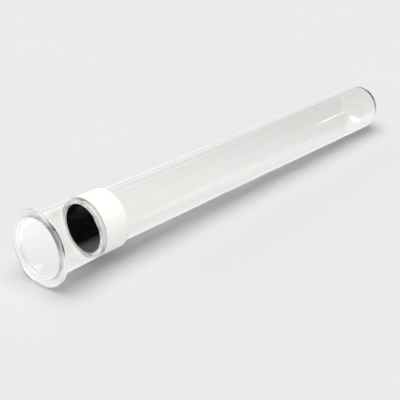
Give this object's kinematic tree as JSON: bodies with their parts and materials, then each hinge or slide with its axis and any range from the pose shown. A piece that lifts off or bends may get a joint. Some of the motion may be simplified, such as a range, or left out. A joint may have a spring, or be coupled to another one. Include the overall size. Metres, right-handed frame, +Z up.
{
  "type": "flanged glass sleeve",
  "caption": "Clear glass tube, closed and rounded at one end, with a flanged wide neck at the other, and a light shield: a cream band outside, a black sleeve inside.",
  "frame": {"origin": "centre of the open mouth, in the plane of the flange's flat front face, on the tube's axis", "axes": "+X along the tube from the open mouth to the closed domed end; +Z up with the tube lying on its side; +Y completes the right-handed set"},
  "size_m": [0.4433, 0.063, 0.063],
  "materials": {
    "clear_glass": "clear, polished",
    "cream_shield": "matt cream",
    "black_sleeve": "matt black"
  },
  "bodies": {
    "glass": {"mouth_flange": "clear_glass", "neck_tube": "clear_glass", "shoulder_ring": "clear_glass", "barrel_tube": "clear_glass", "end_dome": "clear_glass"},
    "band": {"shield_band": "cream_shield"},
    "sleeve": {"shield_sleeve": "black_sleeve"}
  },
  "joints": [
    {"name": "band_slide", "type": "slide", "parent": "glass", "child": "band", "axis": [1, 0, 0], "range_m": [0, 0.4]},
    {"name": "sleeve_slide", "type": "slide", "parent": "glass", "child": "sleeve", "axis": [-1, 0, 0], "range_m": [0, 0.076]}
  ]
}
